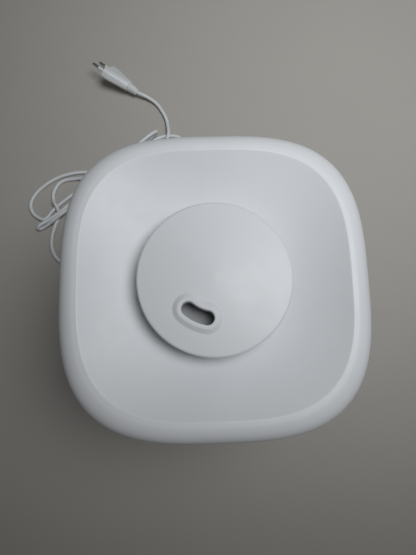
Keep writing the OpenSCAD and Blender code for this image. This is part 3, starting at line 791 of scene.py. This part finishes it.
def add_feet():
    """Four soft feet with a ring tread, in one piece each."""
    high = box_mm("rubber_feet")[1]
    r = 8
    reach = high.x - r
    section = [(0, 0.5), (3, 0.5), (3.5, 0), (6.4, 0), (7.1, 0.3), (7.9, 1.1), (r, 1.6)]
    section += [(r, high.z), (0, high.z)]
    for i, (sx, sy) in enumerate(((1, 1), (-1, 1), (-1, -1), (1, -1))):
        foot = turned(f"foot_{i + 1}", section, shift(sx * reach, sy * reach, 0), 64)
        dress(foot, "base", foot_rubber, "foot_rubber")
        if i == 0:
            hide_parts("rubber_feet")


add_base()
add_button()
add_feet()

# ---------- tank ----------

TANK_FLOOR_Z = 81        # height of the step inside that carries the tank's floor
WINDOW_THICK = 2.2
WINDOW_CROWN = 0.35
MARK_PITCH = 14          # between the level marks
MARK_HALF = 0.9          # half the height of a mark
MARK_RISE = 0.25

# Puts a flat outline of (height, y) on the tank's right side: its thickness runs along +X.
on_side = Matrix(((0, 0, 1, 0), (0, 1, 0, 0), (1, 0, 0, 0), (0, 0, 0, 1)))


def stadium(low, high, half):
    """Outline with round ends, long in its first coordinate."""
    angles = [math.pi * (i / 12 - 0.5) for i in range(13)]
    right = [(high - half + half * math.cos(a), half * math.sin(a)) for a in angles]
    left = [(low + half - half * math.cos(a), -half * math.sin(a)) for a in angles]
    return right + left


def add_tank():
    """Water tank: leaning wall, rounded seams, a step for its floor and a skirt that sits in the base."""
    e = SOFT_EDGE
    low_a, top_a = wall_a(TANK_BOTTOM), wall_a(TANK_TOP)
    skirt = wall_a(BASE_TOP) - WALL - 0.6
    outer = arc(low_a - e, TANK_BOTTOM + e, e, -90, 0, 5)
    outer += wall_line(TANK_BOTTOM + 2, TANK_TOP - 2, 0, 48)
    outer += arc(top_a - e, TANK_TOP - e, e, 0, 90, 5)
    inner = [(top_a - WALL, TANK_TOP)] + wall_line(TANK_TOP - 3, TANK_FLOOR_Z + 3, WALL, 24)
    inner += [(wall_a(TANK_FLOOR_Z) - WALL, TANK_FLOOR_Z), (skirt - 3, TANK_FLOOR_Z)]
    inner += [(skirt - 2.2, BASE_TOP - 5), (skirt - 0.3, BASE_TOP - 5)]
    inner += [(skirt, BASE_TOP - 4.6), (skirt, TANK_BOTTOM)]
    tank = squircle_shell("tank_housing", outer + inner)
    grow = 0.05
    opening = stadium(window_low.z - grow, window_high.z + grow, window_high.y + grow)
    combine(tank, [prism("window_slot", opening, 60, 120, on_side)], "DIFFERENCE")
    return dress(tank, "tank", shell_white, "shell_white", "tank_shell")


def side_wall_x(y, z):
    """How far right the tank's wall stands at a place on its side."""
    a = wall_a(z)
    return a * (1 - (abs(y) / a) ** SQUARE_N) ** (1 / SQUARE_N)


def add_window():
    """Level window flush in the right side, slightly crowned, with level marks moulded on it."""
    rows, columns = 90, 12
    half = window_high.y
    points, faces = [], []
    for outside in (True, False):
        for j in range(rows + 1):
            z = window_low.z + (window_high.z - window_low.z) * j / rows
            end = min(z - window_low.z, window_high.z - z)
            reach = math.sqrt(max(0, half**2 - max(0, half - end) ** 2)) if end < half else half
            for i in range(columns + 1):
                u = 2 * i / columns - 1
                y = u * max(reach, 0.02)
                on_mark = u > 0.1 and abs((z - window_low.z) % MARK_PITCH - MARK_PITCH / 2) < MARK_HALF
                out = -WINDOW_THICK
                if outside:
                    out = WINDOW_CROWN * (1 - u * u) + (MARK_RISE if on_mark else 0)
                points.append((side_wall_x(y, z) + out, y, z))
    width = columns + 1
    side = (rows + 1) * width
    for layer in (0, side):
        for j in range(rows):
            for i in range(columns):
                a = layer + j * width + i
                faces.append((a, a + 1, a + width + 1, a + width))
    edge = list(range(columns)) + [j * width + columns for j in range(rows)]
    edge += [rows * width + i for i in range(columns, 0, -1)] + [j * width for j in range(rows, 0, -1)]
    faces += [(a, b, b + side, a + side) for a, b in zip(edge, edge[1:] + edge[:1])]
    window = new_object("level_glass", points, faces)
    return dress(window, "tank", smoke_clear, "smoke_clear", "level_window")


add_tank()
add_window()

# ---------- lid ----------

LIP_C = HALF - LIP_R
LIP_IN = LIP_C - 0.2     # half-width of the crease between lip and dish
DISH_LOW = 247.2         # height of the dish at the pour ring
RING_A = 40.5            # radius of the dish's inner edge
DISH_BEND = 1.7          # how much the dish steepens towards the lip


def dish_point(t, drop=0.0):
    """The dish's face from the pour ring (0) to the crease (1), round inside and square outside."""
    z = DISH_LOW + (LIP_TOP - DISH_LOW) * t**DISH_BEND
    return (RING_A + (LIP_IN - RING_A) * t, z - drop, 2 + (SQUARE_N - 2) * t)


def add_lid():
    """Lid with a rolled lip, a flat crest, a crisp crease and a dish that falls to the pour ring."""
    e = SOFT_EDGE
    n = SQUARE_N
    low_a = wall_a(LID_BOTTOM)
    roll_end = math.degrees(math.asin((LIP_RISE - 0.1) / LIP_R))
    roll = arc(LIP_C, RIM_Z, LIP_R, 0, roll_end, 40)
    turn_in = roll.pop()
    outer = arc(low_a - e, LID_BOTTOM + e, e, -90, 0, 5)
    outer += wall_line(LID_BOTTOM + 2, RIM_Z - 2, 0, 4) + roll[:-2]
    break_in = blend(roll[-2], turn_in, (turn_in[0] - 0.6, LIP_TOP - 0.07))
    top = [(x, z, n) for x, z in outer + break_in]
    soft = 0.013             # how far the crease's rounding reaches down the dish
    top += blend((LIP_IN + 0.6, LIP_TOP - 0.01, n), (LIP_IN, LIP_TOP, n), dish_point(1 - soft))
    top += [dish_point(1 - soft - (1 - soft) * i / 48) for i in range(1, 49)]
    under = [dish_point(0.92 * i / 24, LID_WALL) for i in range(25)]
    under += [(x, z, n) for x, z in arc(LIP_C, RIM_Z, LIP_R - LID_WALL, 90, 0, 12)]
    under += [(low_a - WALL, LID_BOTTOM, n)]
    lid = squircle_shell("lid_shell", top + under)
    return dress(lid, "lid", shell_white, "shell_white", "lid_dish")


def add_skirt():
    """Wall under the lip that plugs into the tank, with its lower edge rounded."""
    low, high = box_mm("lid_skirt")
    inside = high.x - 2
    outline = softened([(high.x, low.z), (high.x, high.z - 2), (inside, high.z), (inside, low.z)], 0.8)
    return dress(squircle_shell("plug_skirt", outline), "lid", shell_white, "shell_white", "lid_skirt")


add_lid()
add_skirt()

# ---------- mist cap ----------

CAP_R = cap_high.x
CAP_RISE = 4.5
CAP_EDGE_Z = cap_high.z - CAP_RISE
CAP_WALL = 2.2
CAP_EDGE = 1.3           # how far in from the cap's edge its rounding starts
SLOT_REACH = 26.4        # from the cap's axis to the middle of the slot
SLOT_R = 4.5             # half the slot's width
SLOT_HALF = math.radians(14.5)      # half the slot's sweep round the cap
SLOT_TURN = math.radians(-117)      # where its middle stands
SLOT_CENTRE = Vector((SLOT_REACH * math.cos(SLOT_TURN), SLOT_REACH * math.sin(SLOT_TURN)))
SLOT_EDGE = 0.9          # rounding of the slot's upper edge
SLOT_DRAFT = 0.25        # how much wider the slot is at its foot, all round
COLLAR_H = 1.7           # height of the raised collar round the slot
COLLAR_IN, COLLAR_OUT = 6.9, 10.3   # its slope, from the slot's middle line
COLLAR_EASE = 0.12       # share of the collar's slope that is rounded at each end
COLLAR_FOOT = COLLAR_OUT + 0.6
CHUTE_Z = 261            # foot of the chute under the slot
CHUTE_WALL = 1.4
CAP_ANGLES = [2 * math.pi * i / 288 for i in range(288)]


def cap_z(r):
    """Height of the cap's plain cone at a distance from its axis."""
    return CAP_EDGE_Z + CAP_RISE * (1 - (min(r, CAP_R) / CAP_R) ** 1.35)


def slot_distance(x, y):
    """Distance of a point from the slot's curved middle line."""
    turn = math.atan2(y, x) - SLOT_TURN
    turn = (turn + math.pi) % (2 * math.pi) - math.pi
    if abs(turn) <= SLOT_HALF:
        return abs(math.hypot(x, y) - SLOT_REACH)
    end = SLOT_TURN + math.copysign(SLOT_HALF, turn)
    return math.hypot(x - SLOT_REACH * math.cos(end), y - SLOT_REACH * math.sin(end))


def cap_top(x, y):
    """Height of the top face: the cone, with the collar round the slot."""
    t = (COLLAR_OUT - slot_distance(x, y)) / (COLLAR_OUT - COLLAR_IN)
    t = min(1, max(0, t))
    if t < COLLAR_EASE:
        t = t * t / (2 * COLLAR_EASE)
    elif t > 1 - COLLAR_EASE:
        t = 1 - COLLAR_EASE - (1 - t) ** 2 / (2 * COLLAR_EASE)
    else:
        t -= COLLAR_EASE / 2
    return cap_z(math.hypot(x, y)) + COLLAR_H * t / (1 - COLLAR_EASE)


def cap_under(x, y):
    """Height of the cap's underside."""
    return cap_z(math.hypot(x, y)) - CAP_WALL


def slot_ray(angle, distance):
    """The point at a distance from the slot's middle line, going out from its centre at an angle."""
    way = Vector((math.cos(angle), math.sin(angle)))
    low, high = 0.0, 60.0
    for _ in range(40):
        mid = (low + high) / 2
        if slot_distance(*(SLOT_CENTRE + way * mid)) < distance:
            low = mid
        else:
            high = mid
    return SLOT_CENTRE + way * low


def rim_ray(angle, radius):
    """The point where the same ray meets a circle about the cap's axis."""
    way = Vector((math.cos(angle), math.sin(angle)))
    dot = SLOT_CENTRE.dot(way)
    return SLOT_CENTRE + way * (math.sqrt(dot * dot - SLOT_CENTRE.length_squared + radius * radius) - dot)


def round_slot(distance):
    return [slot_ray(a, distance) for a in CAP_ANGLES]


def round_rim(radius):
    return [rim_ray(a, radius) for a in CAP_ANGLES]


def raised(ring, height):
    """A flat ring lifted to the height that height(x, y) gives."""
    return [(x, y, height(x, y)) for x, y in ring]


def spanned(near, far, steps, height):
    """Rings from near to far, without near itself, lifted by height(x, y)."""
    rings = []
    for k in range(1, steps + 1):
        rings.append(raised([n.lerp(f, k / steps) for n, f in zip(near, far)], height))
    return rings


def slot_rings():
    """Rings up the slot's wall from its foot and over its rounded edge."""
    rings = []
    steps = 6
    for k in range(steps + 1):
        t = k / steps
        wall = round_slot(SLOT_R + SLOT_DRAFT * (1 - t))
        rings.append([(x, y, CHUTE_Z + (cap_top(x, y) - SLOT_EDGE - CHUTE_Z) * t) for x, y in wall])
    for k in range(1, steps + 1):
        turn = math.pi / 2 * k / steps
        edge = round_slot(SLOT_R + SLOT_EDGE * (1 - math.cos(turn)))
        drop = SLOT_EDGE * (1 - math.sin(turn))
        rings.append([(x, y, cap_top(x, y) - drop) for x, y in edge])
    return rings


def collar_rings():
    """Rings from the slot's edge over the collar to its foot."""
    rings = []
    steps = 28
    start = SLOT_R + SLOT_EDGE
    for k in range(1, steps + 1):
        rings.append(raised(round_slot(start + (COLLAR_FOOT - start) * k / steps), cap_top))
    return rings


def edge_rings():
    """Rings over the cap's soft upper edge, down its side and under it."""
    start = CAP_R - CAP_EDGE
    flat_z = cap_z(start)
    under_z = CAP_EDGE_Z - 2.4
    line = blend((start, flat_z), (start + 0.25, flat_z - 0.03), (start + 0.5, flat_z - 0.2), 4)
    line += blend((CAP_R - 0.45, flat_z - 0.56), (CAP_R, flat_z - 0.8), (CAP_R, flat_z - 1.3), 6)
    line += blend((CAP_R, CAP_EDGE_Z - 1.7), (CAP_R, under_z), (CAP_R - 0.7, under_z), 5)
    return [[(*rim_ray(a, r), z) for a in CAP_ANGLES] for r, z in line[1:]]


def add_cap():
    """Thin cone with a rounded rim, the kidney slot with its raised collar, and the chute under it."""
    chute = round_slot(SLOT_R + CHUTE_WALL)
    inner = round_rim(CAP_R - 2)
    rings = [[(x, y, CHUTE_Z) for x, y in chute]]
    rings += slot_rings() + collar_rings()
    rings += spanned(round_slot(COLLAR_FOOT), round_rim(CAP_R - CAP_EDGE), 44, cap_top)
    rings += edge_rings()
    rings += [raised(inner, cap_under)] + spanned(inner, chute, 12, cap_under)
    points = [p for ring in rings for p in ring]
    cap = new_object("cap_shell", points, ring_faces(len(rings), len(CAP_ANGLES), True))
    return dress(cap, "cap", shell_white, "shell_white", "mist_cap")


add_cap()

# ---------- floor and light ----------

FLOOR_R = 4000


def add_floor():
    """A wide round slab just under the object."""
    floor = prism("floor", circle(FLOOR_R, 96), -40, -0.02)
    floor.data.materials.append(pale_floor("floor"))


def add_light(name, at, aim, size, power, spread, colour):
    """A round soft light, with its places and size in metres and its spread in degrees."""
    data = bpy.data.lights.new(name, "AREA")
    data.shape = "DISK"
    data.size = size
    data.energy = power
    data.color = colour
    data.spread = math.radians(spread)
    lamp = bpy.data.objects.new(name, data)
    lamp.location = at
    lamp.rotation_mode = "QUATERNION"
    lamp.rotation_quaternion = (Vector(aim) - Vector(at)).to_track_quat("-Z", "Y")
    bpy.context.scene.collection.objects.link(lamp)


def add_sky(strength, colour):
    world = bpy.data.worlds.new("studio")
    world.use_nodes = True
    sky = world.node_tree.nodes["Background"]
    sky.inputs["Color"].default_value = (*colour, 1)
    sky.inputs["Strength"].default_value = strength
    bpy.context.scene.world = world


add_floor()
add_light(
    "window", at=(0.35, 0.14, 1.15), aim=(0.21, 0.34, 0.26), size=0.6, power=2.3, spread=86,
    colour=(0.95, 0.975, 1),
)
add_sky(strength=0.09, colour=(0.95, 0.97, 1))
bpy.context.scene.view_settings.view_transform = "Standard"
